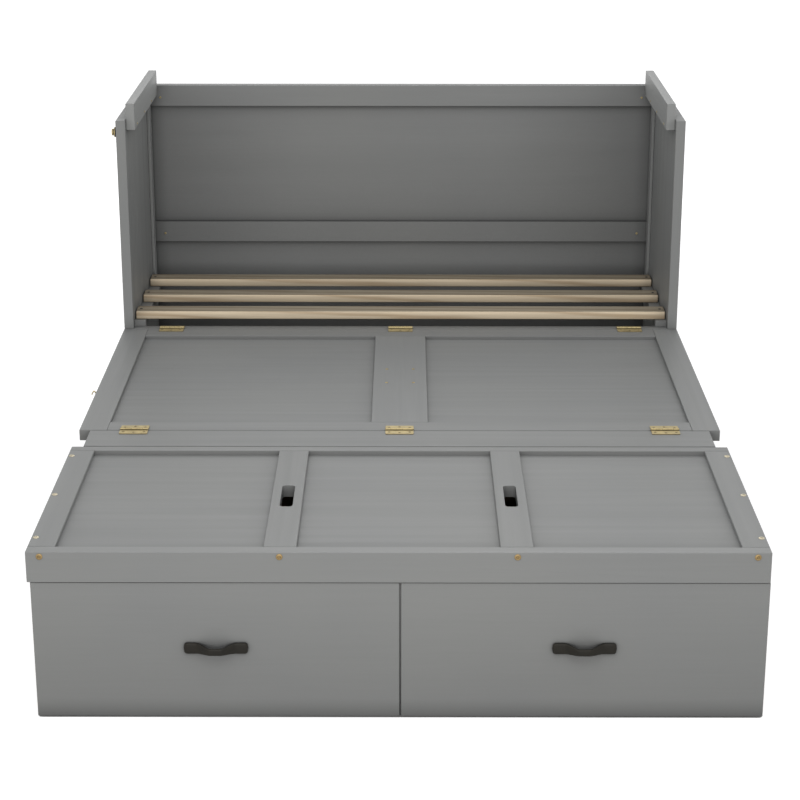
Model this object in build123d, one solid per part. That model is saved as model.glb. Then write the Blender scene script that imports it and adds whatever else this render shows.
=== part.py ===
from build123d import *
import os

os.makedirs("parts", exist_ok=True)

# Wall bed shown opened out: a cabinet at the head, a front panel folded down as the first deck,
# a narrow flap hinged to it, a lift-off lid as the foot deck, and two rolling drawers under the lid.
# Millimetres, +Z up, floor at z = 0, foot of the bed towards -Y, left side towards -X.

# Driving sizes
WIDTH = 1610.0
DECK_TOP = 400.0
BOARD = 28.5
SIDE_THICK = 27.0
SIDE_TOP = 1015.0
CABINET_DEPTH = 578.5
LID_DEPTH = 625.5
FLAP_DEPTH = 107.5
FRONT_PANEL_DEPTH = 830.5
RIM_HEIGHT = 72.0
INFILL = 8.0
RECESS = 9.5
TONGUE = 8.0
EASE = 1.2

# Clearances
FIT = 0.3
LIFT_GAP = 0.5
FOLD_GAP = 1.5
LID_GAP = 4.0
FLAP_PLAY = 1.0
PIN_PLAY = 0.05

# Front panel frame
FRONT_STILE = 70.0
CENTRE_STILE = 144.0
HINGE_SIDE_RAIL = 67.0
FLAP_SIDE_RAIL = 58.0

# Lid frame
LID_RIM = 29.0
LID_SIDE_RIM = 26.0
LID_BACK = 27.0
LID_SIDE_STILE = 60.0
LID_MID_STILE = 72.0
LID_MID_CENTRE = 257.0
SLOT_WIDTH = 30.0
SLOT_LENGTH = 125.0
SLOT_START = 251.5
SLOT_CORNER = 9.0
RIM_SCREW_INSET = 34.0
RIM_SCREW_DROP = 11.0
SIDE_SCREW_INSET = 10.5
SIDE_SCREW_FIRST = 77.0
SIDE_SCREW_LAST = 62.5

# Cabinet inside
RAIL_HEIGHT = 65.0
RAIL_DROP = 3.0
RAIL_THICK = 18.0
BACK_THICK = 12.0
BACK_GROUND = 60.0
MIDDLE_RAIL_BOTTOM = 513.0
BATTEN = 8.0
BATTEN_WIDTH = 45.0
BATTEN_AHEAD = 83.0
HINGE_RAIL = 24.5
SLAT_WIDTH = 57.0
SLAT_THICK = 23.0
SLAT_CLEAR = 37.5
SLAT_RISE = 40.0
SLAT_SETBACK = 37.0
SLAT_PLAY = 3.0
LEDGE_WIDTH = 32.0
LEDGE_HEIGHT = 40.0
CLEAT_THICK = 24.5
CLEAT_HEIGHT = 76.0
CLEAT_RISE = 44.0
CLEAT_SETBACK = 24.0
CLEAT_SCREW_UP = 8.5
RAIL_SCREW_UP = 27.0
RAIL_SCREW_X = 744.5

# Drawers
DRAWER_START = 2.0
DRAWER_BACK_INSET = 20.5
DRAWER_FRONT = 18.0
DRAWER_SIDE = 15.0
DRAWER_BOTTOM = 9.0
DRAWER_FLOOR = 42.0
DRAWER_SEAM = 1.5
FRONT_INSET = 2.7
PAIR_SHIFT = 3.7
SIDE_PLAY = 8.0
FRONT_GROUND = 3.0
SIDE_GROUND = 22.0
WHEEL_R = 16.0
WHEEL_WIDTH = 14.0
AXLE_R = 3.0
CHEEK = 2.0
WHEEL_INSET = 24.0
FRONT_WHEEL_BACK = 70.0
REAR_WHEEL_AHEAD = 60.0

# Hinges
LEAF_LENGTH = 70.5
LEAF_REACH = 28.5
RAIL_LEAF_REACH = 20.0
LEAF_THICK = 2.0
KNUCKLE_R = 3.2
KNUCKLE_UP = 3.6
PIN_R = 1.6
KNUCKLES = 5
HINGE_X = (-666.0, 0.0, 666.0)

# Handles and latch
HANDLE_LENGTH = 141.0
HANDLE_REACH = 27.0
HANDLE_PAD = 26.0
HANDLE_BAR = 16.0
HANDLE_FOOT = 33.0
HANDLE_THICK = 6.5
HANDLE_Z = 168.5
HANDLE_X = 403.0
PULL_OFFSET = 36.0
PULL_PITCH = 111.0
CATCH_Z = 979.0
CATCH_BACK = 17.0
HOOK_FROM_HINGE = 540.0
HOOK_DROP = 9.0

# Places along the bed, measured from the outer face of the lid's front rim
HALF = WIDTH / 2
INNER = HALF - SIDE_THICK
UNDER = DECK_TOP - BOARD
FLAP_START = LID_DEPTH + LID_GAP
SEAM_B = FLAP_START + FLAP_DEPTH + FOLD_GAP
PANEL_START = SEAM_B + FOLD_GAP
SEAM_A = PANEL_START + FRONT_PANEL_DEPTH + FOLD_GAP
CAB_FRONT = SEAM_A + FOLD_GAP
CAB_BACK = CAB_FRONT + CABINET_DEPTH
BACK_FACE = CAB_BACK - BACK_THICK
RAIL_FACE = BACK_FACE - RAIL_THICK
RIM_BOTTOM = DECK_TOP - RIM_HEIGHT
HANDLE_TIP = DRAWER_START - HANDLE_REACH
Y_MID = (HANDLE_TIP + CAB_BACK) / 2
DRAWER_TOP = RIM_BOTTOM - LIFT_GAP
DRAWER_END = LID_DEPTH - DRAWER_BACK_INSET
CLEAT_TOP = SIDE_TOP + CLEAT_RISE
SLAT_TOP = DECK_TOP + SLAT_RISE
LEDGE_TOP = SLAT_TOP - SLAT_THICK
AXIS_Z = DECK_TOP + KNUCKLE_UP
TOP_RAIL_TOP = SIDE_TOP - RAIL_DROP
TOP_RAIL_BOTTOM = TOP_RAIL_TOP - RAIL_HEIGHT
CLEAT_BOTTOM = CLEAT_TOP - CLEAT_HEIGHT
LEDGE_BOTTOM = LEDGE_TOP - LEDGE_HEIGHT
SLAT_START = CAB_FRONT + SLAT_SETBACK
BATTEN_FRONT = RAIL_FACE - BATTEN_AHEAD
SLATS_END = BATTEN_FRONT - SLAT_CLEAR
SLAT_PITCH = (SLATS_END - SLAT_WIDTH - SLAT_START) / 2


def save(name, shape):
    """Write one piece to its own file."""
    shape.label = name
    export_step(shape, "parts/" + name + ".step")


def plain(x0, x1, y0, y1, z0, z1):
    """A square-edged block between two corners, with y measured from the lid's front rim."""
    block = Box(x1 - x0, y1 - y0, z1 - z0)
    return Pos((x0 + x1) / 2, (y0 + y1) / 2 - Y_MID, (z0 + z1) / 2) * block


def board(x0, x1, y0, y1, z0, z1, ease=EASE):
    """A sawn board with every edge eased by a small bevel."""
    block = plain(x0, x1, y0, y1, z0, z1)
    return chamfer(block.edges(), ease)


def mirrored(shape):
    """The same piece on the other side of the bed."""
    return mirror(shape, Plane.YZ)


def rod(radius, start, end):
    """A round bar between two points that share two coordinates."""
    a = Vector(start[0], start[1] - Y_MID, start[2])
    b = Vector(end[0], end[1] - Y_MID, end[2])
    along = b - a
    plane = Plane(origin=a, z_dir=along)
    return extrude(plane * Circle(radius), along.length)


def screw(head_r, point, out, height=1.6, shank=9.0, recess=True):
    """A raised-head screw with a cross recess, its head standing on the point and facing out."""
    shaft = head_r * 0.45
    profile = make_face(
        Polyline(
            (0, 0, -shank), (shaft, 0, -shank), (shaft, 0, 0), (head_r, 0, 0),
            (head_r, 0, height * 0.45), (head_r * 0.55, 0, height), (0, 0, height), (0, 0, -shank),
        )
    )
    body = revolve(profile, Axis.Z)
    if recess:
        arm = Box(head_r * 1.0, head_r * 0.24, height)
        cross = arm + Rot(0, 0, 90) * arm
        body -= Pos(0, 0, height) * cross
    place = Plane(origin=(point[0], point[1] - Y_MID, point[2]), z_dir=out)
    return place.location * body


def screw_hole(head_r, point, out, shank=9.0):
    """The hole that a screw's shaft fills."""
    place = Plane(origin=(point[0], point[1] - Y_MID, point[2]), z_dir=out)
    hole = Pos(0, 0, -shank / 2) * Cylinder(head_r * 0.45, shank)
    return place.location * hole


def bow_handle():
    """A bow pull lying along X on a face that looks to -Y, arched outwards between two flat pads."""
    half = HANDLE_LENGTH / 2
    grip = half - HANDLE_FOOT
    pad = HANDLE_PAD / 2
    bar = HANDLE_BAR / 2
    waist = grip - 6.0
    upper = Spline((grip + 8, pad), (waist, bar + 1), (0, bar), (-waist, bar + 1), (-grip - 8, pad))
    lower = Spline((-grip - 8, -pad), (-waist, -bar - 1), (0, -bar), (waist, -bar - 1), (grip + 8, -pad))
    right = Polyline((grip + 8, -pad), (half, -pad), (half, pad), (grip + 8, pad))
    left = Polyline((-grip - 8, pad), (-half, pad), (-half, -pad), (-grip - 8, -pad))
    face = make_face(upper + left + lower + right)
    tall = extrude(Plane.XZ * face, HANDLE_REACH + 1, both=True)
    corners = tall.edges().filter_by(Axis.Y)
    tall = fillet([e for e in corners if abs(abs(e.center().X) - half) < 0.1], 6.0)
    outer = Spline(
        (-half, -2.5), (-grip - 4, -HANDLE_THICK - 1.5), (-grip * 0.45, -HANDLE_REACH + 2.2), (0, -HANDLE_REACH),
        (grip * 0.45, -HANDLE_REACH + 2.2), (grip + 4, -HANDLE_THICK - 1.5), (half, -2.5),
    )
    under = Spline(
        (grip, 0), (grip * 0.45, -HANDLE_REACH + HANDLE_THICK + 2.4), (0, -HANDLE_REACH + HANDLE_THICK),
        (-grip * 0.45, -HANDLE_REACH + HANDLE_THICK + 2.4), (-grip, 0),
    )
    ends = Polyline((half, -2.5), (half, 0), (grip, 0)) + Polyline((-grip, 0), (-half, 0), (-half, -2.5))
    plan = make_face(outer + ends + under)
    deep = extrude(plan, HANDLE_PAD, both=True)
    return tall & deep


def knuckle_spans():
    """Start and end of each hinge knuckle along the leaf, measured from the leaf's middle."""
    step = LEAF_LENGTH / KNUCKLES
    gap = 0.3
    return [(-LEAF_LENGTH / 2 + i * step + gap, -LEAF_LENGTH / 2 + (i + 1) * step - gap) for i in range(KNUCKLES)]


def hinge_leaf(x, seam, side, mine, bored, reach=LEAF_REACH):
    """One brass leaf on the deck, rolled into every knuckle in mine; side is -1 towards the foot."""
    near = KNUCKLE_R + 0.6
    flat = sorted((seam + side * near, seam + side * reach))
    half = LEAF_LENGTH / 2
    leaf = plain(x - half, x + half, flat[0], flat[1], DECK_TOP, DECK_TOP + LEAF_THICK)
    outer = leaf.edges().filter_by(Axis.Z).sort_by(Axis.Y)
    leaf = fillet(outer[:2] if side < 0 else outer[2:], 3.0)
    for number, (start, end) in enumerate(knuckle_spans()):
        if number % 2 != mine:
            continue
        low, high = sorted((seam, seam + side * (near + 1)))
        leaf += plain(x + start, x + end, low, high, DECK_TOP, DECK_TOP + LEAF_THICK)
        leaf += rod(KNUCKLE_R, (x + start, seam, AXIS_Z), (x + end, seam, AXIS_Z))
    if bored:
        leaf -= rod(PIN_R + PIN_PLAY, (x - half, seam, AXIS_Z), (x + half, seam, AXIS_Z))
    return leaf


def hinge_pin(x, seam):
    """The pin through all five knuckles, a little longer than the barrel."""
    reach = LEAF_LENGTH / 2 + 0.8
    return rod(PIN_R, (x - reach, seam, AXIS_Z), (x + reach, seam, AXIS_Z))


def tongue_groove(x0, x1, y0, y1, z_mid):
    """The room that an infill's edge takes up inside the frame around an opening."""
    return plain(
        x0 - TONGUE - FIT, x1 + TONGUE + FIT, y0 - TONGUE - FIT, y1 + TONGUE + FIT,
        z_mid - INFILL / 2, z_mid + INFILL / 2,
    )


def infill(x0, x1, y0, y1, z_mid):
    """A thin panel held in the grooves of the frame around an opening."""
    return plain(
        x0 - TONGUE, x1 + TONGUE, y0 - TONGUE, y1 + TONGUE, z_mid - INFILL / 2, z_mid + INFILL / 2
    )


def cabinet_screw_places():
    """Where each small brass screw of the cabinet stands, and the way its head faces."""
    places = []
    face = INNER - CLEAT_THICK
    start = CAB_FRONT + CLEAT_SETBACK
    length = RAIL_FACE - start
    for part in (0.1, 0.42, 0.73):
        y = start + length * part
        places.append(((-face, y, CLEAT_BOTTOM + CLEAT_SCREW_UP), (1, 0, 0)))
        places.append(((face, y, CLEAT_BOTTOM + CLEAT_SCREW_UP), (-1, 0, 0)))
    for z in (TOP_RAIL_BOTTOM + RAIL_SCREW_UP, MIDDLE_RAIL_BOTTOM + RAIL_SCREW_UP):
        for x in (-RAIL_SCREW_X, RAIL_SCREW_X):
            places.append(((x, RAIL_FACE, z), (0, -1, 0)))
    return places


def cabinet_screw_holes():
    """The holes of those screws as one shape."""
    holes = [screw_hole(3.5, point, out, 12) for point, out in cabinet_screw_places()]
    return Compound(holes)


def build_cabinet():
    """Side panels, back, rails, battens, ledges and cleats of the fixed cabinet."""
    holes = cabinet_screw_holes()
    side = board(-HALF, -INNER, CAB_FRONT, CAB_BACK, 0, SIDE_TOP)
    save("side_panel_left", side)
    save("side_panel_right", mirrored(side))
    save("back_panel", plain(-INNER, INNER, BACK_FACE, CAB_BACK, BACK_GROUND, TOP_RAIL_TOP))
    save("top_back_rail", board(-INNER, INNER, RAIL_FACE, BACK_FACE, TOP_RAIL_BOTTOM, TOP_RAIL_TOP) - holes)
    middle = board(-INNER, INNER, RAIL_FACE, BACK_FACE, MIDDLE_RAIL_BOTTOM, MIDDLE_RAIL_BOTTOM + RAIL_HEIGHT)
    save("middle_back_rail", middle - holes)
    batten_back = BATTEN_FRONT + BATTEN_WIDTH
    batten = board(-INNER, -INNER + BATTEN, BATTEN_FRONT, batten_back, LEDGE_BOTTOM, CLEAT_BOTTOM)
    save("corner_battens", Compound([batten, mirrored(batten)]))
    save("hinge_rail", board(-INNER, INNER, CAB_FRONT, CAB_FRONT + HINGE_RAIL, UNDER, DECK_TOP))
    ledge_start = CAB_FRONT + HINGE_RAIL
    ledge = board(-INNER, -INNER + LEDGE_WIDTH, ledge_start, SLATS_END, LEDGE_BOTTOM, LEDGE_TOP)
    save("slat_ledges", Compound([ledge, mirrored(ledge)]))
    cleat = board(
        -INNER, -INNER + CLEAT_THICK, CAB_FRONT + CLEAT_SETBACK, RAIL_FACE, CLEAT_BOTTOM, CLEAT_TOP
    )
    save("lid_cleat_left", cleat - holes)
    save("lid_cleat_right", mirrored(cleat) - holes)
    leaves = [hinge_leaf(x, SEAM_A, 1, 0, True, RAIL_LEAF_REACH) for x in HINGE_X]
    save("cabinet_hinge_leaves", Compound(leaves))


def build_slats():
    """Three pine slats across the ledges, each with a screw near both ends."""
    heads = []
    for number, name in enumerate(("slat_front", "slat_middle", "slat_rear")):
        start = SLAT_START + number * SLAT_PITCH
        reach = INNER - SLAT_PLAY
        slat = board(-reach, reach, start, start + SLAT_WIDTH, LEDGE_TOP, SLAT_TOP, 2.0)
        for x in (-INNER + 16, INNER - 16):
            point = (x, start + SLAT_WIDTH / 2, SLAT_TOP)
            slat -= screw_hole(4.0, point, (0, 0, 1))
            heads.append(screw(4.0, point, (0, 0, 1)))
        save(name, slat)
    save("slat_screws", Compound(heads))


def build_cabinet_screws():
    """Brass screws in the cleats and the back rails."""
    heads = [screw(3.5, point, out, shank=12) for point, out in cabinet_screw_places()]
    save("cabinet_screws", Compound(heads))


def build_latch():
    """The turned brass catch on the cabinet and the wire hook on the front panel's left edge."""
    profile = make_face(
        Polyline(
            (0, 0, 0), (9, 0, 0), (9, 0, 2.6), (13.6, 0, 2.6), (14.8, 0, 3.6), (14.8, 0, 4.8), (13.6, 0, 5.8),
            (8, 0, 6.4), (8, 0, 7.6), (10, 0, 8.4), (10, 0, 12.2), (8.4, 0, 13.4), (0, 0, 13.8), (0, 0, 0),
        )
    )
    turned = revolve(profile, Axis.Z)
    place = Plane(origin=(-HALF, CAB_FRONT + CATCH_BACK - Y_MID, CATCH_Z), z_dir=(-1, 0, 0))
    save("latch_catch", place.location * turned)
    y = SEAM_A - HOOK_FROM_HINGE - Y_MID
    z = DECK_TOP - HOOK_DROP
    plate = rod(5.0, (-HALF, y + Y_MID, z), (-HALF - 3.0, y + Y_MID, z))
    root = (-HALF - 2.9, y, z)
    path = Spline(root, (-HALF - 4.5, y, z + 7.5), (-HALF - 10, y, z + 6.5), (-HALF - 12.5, y, z - 0.5))
    section = Plane(origin=path @ 0, z_dir=path % 0) * Circle(1.7)
    save("latch_hook", plate + sweep(section, path=path))


def build_front_panel():
    """The folding front panel: stiles and rails around two infills, with grooves for them."""
    z_mid = DECK_TOP - RECESS - INFILL / 2
    y0 = PANEL_START + FLAP_SIDE_RAIL
    end = PANEL_START + FRONT_PANEL_DEPTH
    y1 = end - HINGE_SIDE_RAIL
    outer = HALF - FRONT_STILE
    centre = CENTRE_STILE / 2
    grooves = tongue_groove(-outer, -centre, y0, y1, z_mid) + tongue_groove(centre, outer, y0, y1, z_mid)
    stile = board(-HALF, -outer, PANEL_START, end, UNDER, DECK_TOP) - grooves
    save("front_stile_left", stile)
    save("front_stile_right", mirrored(stile))
    middle = board(-centre, centre, y0, y1, UNDER, DECK_TOP) - grooves
    heads = []
    half_pitch = PULL_PITCH / 2
    mid_y = PANEL_START + FRONT_PANEL_DEPTH / 2
    for x in (-PULL_OFFSET, PULL_OFFSET):
        for y in (mid_y - half_pitch, mid_y + half_pitch):
            middle -= rod(1.8, (x, y, UNDER), (x, y, DECK_TOP))
            heads.append(screw(4.0, (x, y, DECK_TOP), (0, 0, 1), shank=BOARD))
    save("front_stile_centre", middle)
    save("front_handle_screws", Compound(heads))
    save("front_rail_hinge_side", board(-outer, outer, y1, end, UNDER, DECK_TOP) - grooves)
    save("front_rail_flap_side", board(-outer, outer, PANEL_START, y0, UNDER, DECK_TOP) - grooves)
    pane = infill(-outer, -centre, y0, y1, z_mid)
    save("front_infill_left", pane)
    save("front_infill_right", mirrored(pane))
    pull = Rot(0, 0, 90) * bow_handle()
    pull = Rot(0, 90, 0) * pull
    pulls = [Pos(x, mid_y - Y_MID, UNDER) * pull for x in (-PULL_OFFSET, PULL_OFFSET)]
    save("front_handles", Compound(pulls))
    leaves = []
    for x in HINGE_X:
        leaves.append(hinge_leaf(x, SEAM_A, -1, 1, False) + hinge_pin(x, SEAM_A))
        leaves.append(hinge_leaf(x, SEAM_B, 1, 0, False) + hinge_pin(x, SEAM_B))
    save("front_hinge_leaves", Compound(leaves))


def build_flap():
    """The narrow flap that folds back over the front panel."""
    reach = INNER - FLAP_PLAY
    save("flap_board", board(-reach, reach, FLAP_START, FLAP_START + FLAP_DEPTH, UNDER, DECK_TOP))
    save("flap_hinge_leaves", Compound([hinge_leaf(x, SEAM_B, -1, 1, True) for x in HINGE_X]))


def hand_slot(x):
    """A rounded hand slot right through a lid stile."""
    outline = RectangleRounded(SLOT_WIDTH, SLOT_LENGTH, SLOT_CORNER)
    middle = SLOT_START + SLOT_LENGTH / 2 - Y_MID
    return Pos(x, middle, UNDER - 1) * extrude(outline, BOARD + 2)


def build_lid():
    """The lift-off lid: deep rims below a frame with three infills and two hand slots."""
    z_mid = DECK_TOP - RECESS - 1.0 - INFILL / 2
    y0 = LID_RIM
    y1 = LID_DEPTH - LID_BACK
    edge = HALF - LID_SIDE_STILE
    near = LID_MID_CENTRE - LID_MID_STILE / 2
    far = LID_MID_CENTRE + LID_MID_STILE / 2
    grooves = tongue_groove(-edge, -far, y0, y1, z_mid)
    grooves += tongue_groove(-near, near, y0, y1, z_mid)
    grooves += tongue_groove(far, edge, y0, y1, z_mid)
    front = board(-HALF, HALF, 0, y0, RIM_BOTTOM, DECK_TOP) - grooves
    heads = []
    outer = HALF - RIM_SCREW_INSET
    for x in (-outer, -LID_MID_CENTRE, LID_MID_CENTRE, outer):
        point = (x, 0, DECK_TOP - RIM_SCREW_DROP)
        front -= screw_hole(7.2, point, (0, -1, 0), 12)
        heads.append(screw(7.2, point, (0, -1, 0), 2.0, 12))
    save("lid_front_rim", front)
    save("lid_back_board", board(-HALF, HALF, y1, LID_DEPTH, RIM_BOTTOM, DECK_TOP) - grooves)
    rim = board(-HALF, -HALF + LID_SIDE_RIM, y0, y1, RIM_BOTTOM, UNDER)
    save("lid_rim_left", rim)
    save("lid_rim_right", mirrored(rim))
    stile = board(-HALF, -edge, y0, y1, UNDER, DECK_TOP) - grooves
    last = LID_DEPTH - SIDE_SCREW_LAST
    for y in (SIDE_SCREW_FIRST, (SIDE_SCREW_FIRST + last) / 2, last):
        point = (-HALF + SIDE_SCREW_INSET, y, DECK_TOP)
        stile -= screw_hole(6.6, point, (0, 0, 1), 12)
        heads.append(screw(6.6, point, (0, 0, 1), 1.8, 12))
        heads.append(mirrored(screw(6.6, point, (0, 0, 1), 1.8, 12)))
    save("lid_side_stile_left", stile)
    save("lid_side_stile_right", mirrored(stile))
    middle = board(-far, -near, y0, y1, UNDER, DECK_TOP) - grooves - hand_slot(-LID_MID_CENTRE)
    save("lid_middle_stile_left", middle)
    save("lid_middle_stile_right", mirrored(middle))
    pane = infill(-edge, -far, y0, y1, z_mid)
    save("lid_infill_left", pane)
    save("lid_infill_centre", infill(-near, near, y0, y1, z_mid))
    save("lid_infill_right", mirrored(pane))
    save("lid_screws", Compound(heads))


def wheel(x, y):
    """One plastic wheel with a rounded tread and a bore for its axle."""
    half = WHEEL_WIDTH / 2
    body = Cylinder(WHEEL_R, WHEEL_WIDTH)
    body = fillet(body.edges().filter_by(GeomType.CIRCLE), 2.5)
    body -= Cylinder(AXLE_R + PIN_PLAY, WHEEL_WIDTH)
    body -= Pos(0, 0, half) * Cylinder(WHEEL_R * 0.62, 3.0)
    body += Pos(0, 0, half - 1.0) * (Cylinder(AXLE_R + 3, 2.0) - Cylinder(AXLE_R + PIN_PLAY, 2.0))
    return Pos(x, y - Y_MID, WHEEL_R) * (Rot(0, 90, 0) * body)


def wheel_bracket(x, y, top):
    """A pressed steel fork screwed under the drawer bottom, with the wheel's axle through it."""
    half = WHEEL_WIDTH / 2 + 0.8
    fork = plain(x - half - CHEEK, x + half + CHEEK, y - 20, y + 20, top - 2.5, top)
    for sign in (-1, 1):
        low, high = sorted((x + sign * half, x + sign * (half + CHEEK)))
        cheek = plain(low, high, y - 9, y + 9, WHEEL_R - 7, top - 2.0)
        lower = cheek.edges().filter_by(Axis.X).sort_by(Axis.Z)[:2]
        fork += fillet(lower, 6.0)
    reach = half + CHEEK + 1.5
    return fork + rod(AXLE_R, (x - reach, y, WHEEL_R), (x + reach, y, WHEEL_R))


def build_drawer(side, sign):
    """One rolling drawer; sign is -1 for the left drawer."""
    near = DRAWER_SEAM
    far = HALF - FRONT_INSET
    box_far = INNER - SIDE_PLAY
    box_near = DRAWER_SEAM + 1.5
    face = DRAWER_START + DRAWER_FRONT

    def across(a, b):
        return sorted((sign * a + PAIR_SHIFT, sign * b + PAIR_SHIFT))

    x0, x1 = across(near, far)
    front = board(x0, x1, DRAWER_START, face, FRONT_GROUND, DRAWER_TOP)
    floor_top = DRAWER_FLOOR + DRAWER_BOTTOM
    slot = TONGUE * 0.7
    b0, b1 = across(box_near + DRAWER_SIDE - slot, box_far - DRAWER_SIDE + slot)
    groove = plain(b0 - FIT, b1 + FIT, face - slot, DRAWER_END - DRAWER_SIDE, DRAWER_FLOOR, floor_top)
    front -= groove
    save("drawer_front_" + side, front)
    for label, a, b in (("inner", box_near, box_near + DRAWER_SIDE), ("outer", box_far - DRAWER_SIDE, box_far)):
        s0, s1 = across(a, b)
        wall = board(s0, s1, face, DRAWER_END, SIDE_GROUND, DRAWER_TOP) - groove
        save("drawer_side_" + label + "_" + side, wall)
    k0, k1 = across(box_near + DRAWER_SIDE, box_far - DRAWER_SIDE)
    back = board(k0, k1, DRAWER_END - DRAWER_SIDE, DRAWER_END, SIDE_GROUND, DRAWER_TOP)
    save("drawer_back_" + side, back)
    tray = plain(b0, b1, face - slot + FIT, DRAWER_END - DRAWER_SIDE, DRAWER_FLOOR, floor_top)
    save("drawer_bottom_" + side, tray)
    handle = Pos(sign * HANDLE_X + PAIR_SHIFT, DRAWER_START - Y_MID, HANDLE_Z) * bow_handle()
    save("drawer_handle_" + side, handle)
    wheel_far = sign * (box_far - DRAWER_SIDE - WHEEL_INSET) + PAIR_SHIFT
    wheel_near = sign * (box_near + DRAWER_SIDE + WHEEL_INSET) + PAIR_SHIFT
    forks = []
    for name, y in (("front", DRAWER_START + FRONT_WHEEL_BACK), ("rear", DRAWER_END - REAR_WHEEL_AHEAD)):
        wheels = [wheel(x, y) for x in (wheel_near, wheel_far)]
        forks += [wheel_bracket(x, y, DRAWER_FLOOR) for x in (wheel_near, wheel_far)]
        save("drawer_wheels_" + name + "_" + side, Compound(wheels))
    save("drawer_brackets_" + side, Compound(forks))


build_cabinet()
build_slats()
build_cabinet_screws()
build_latch()
build_front_panel()
build_flap()
build_lid()
build_drawer("left", -1)
build_drawer("right", 1)
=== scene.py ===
"""Looks of the wall bed: grey lacquered boards, pine slats, brass fittings and dark bow pulls.

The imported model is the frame. Boards stay as they are and get procedural finishes; pulls, screws, catch, hook
and the lipping between the drawers are made here as smooth surfaces. Metres throughout, +Z up, foot of the bed
towards -Y.
"""
import logging
import math
from dataclasses import dataclass, field
from enum import Enum
from typing import Sequence
import bpy
import numpy as np
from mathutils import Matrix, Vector


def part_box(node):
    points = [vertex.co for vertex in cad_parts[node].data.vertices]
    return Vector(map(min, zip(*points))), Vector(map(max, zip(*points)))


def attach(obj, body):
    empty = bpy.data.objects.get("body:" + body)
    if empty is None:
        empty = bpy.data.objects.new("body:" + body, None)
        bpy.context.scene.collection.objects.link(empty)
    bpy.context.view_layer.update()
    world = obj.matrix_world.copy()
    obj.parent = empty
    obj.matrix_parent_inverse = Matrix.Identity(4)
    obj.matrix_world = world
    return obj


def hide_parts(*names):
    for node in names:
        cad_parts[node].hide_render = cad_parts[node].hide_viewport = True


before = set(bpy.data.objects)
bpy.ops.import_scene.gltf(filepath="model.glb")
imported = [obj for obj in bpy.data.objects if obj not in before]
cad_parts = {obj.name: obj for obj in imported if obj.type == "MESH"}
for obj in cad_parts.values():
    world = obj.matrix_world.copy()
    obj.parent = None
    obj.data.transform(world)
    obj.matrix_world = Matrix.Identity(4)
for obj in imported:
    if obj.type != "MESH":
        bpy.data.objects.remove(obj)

LOG = logging.getLogger("wall_bed")
Colour = tuple[float, float, float]
Point = tuple[float, float, float]
Tones = tuple[float, float]
Socket = bpy.types.NodeSocket
FULL_TURN = 2 * math.pi
POINTED = 1e-5
DECK = 0.400


class Grain(Enum):
    """The way the brushed grain of a board runs."""

    ACROSS = (1.2, 46.0, 46.0)
    ALONG = (46.0, 1.2, 46.0)
    UPRIGHT = (46.0, 46.0, 1.2)


class Facing(Enum):
    """The way a screw head or turned piece looks, as its outward direction."""

    UP = (0.0, 0.0, 1.0)
    FOOT = (0.0, -1.0, 0.0)
    LEFT = (-1.0, 0.0, 0.0)
    RIGHT = (1.0, 0.0, 0.0)
    DOWN = (0.0, 0.0, -1.0)


class Side(Enum):
    """The two sides of the bed, seen from the foot."""

    LEFT = -1
    RIGHT = 1

    @property
    def word(self) -> str:
        """The side's word as the nodes use it."""
        return "left" if self is Side.LEFT else "right"


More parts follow.
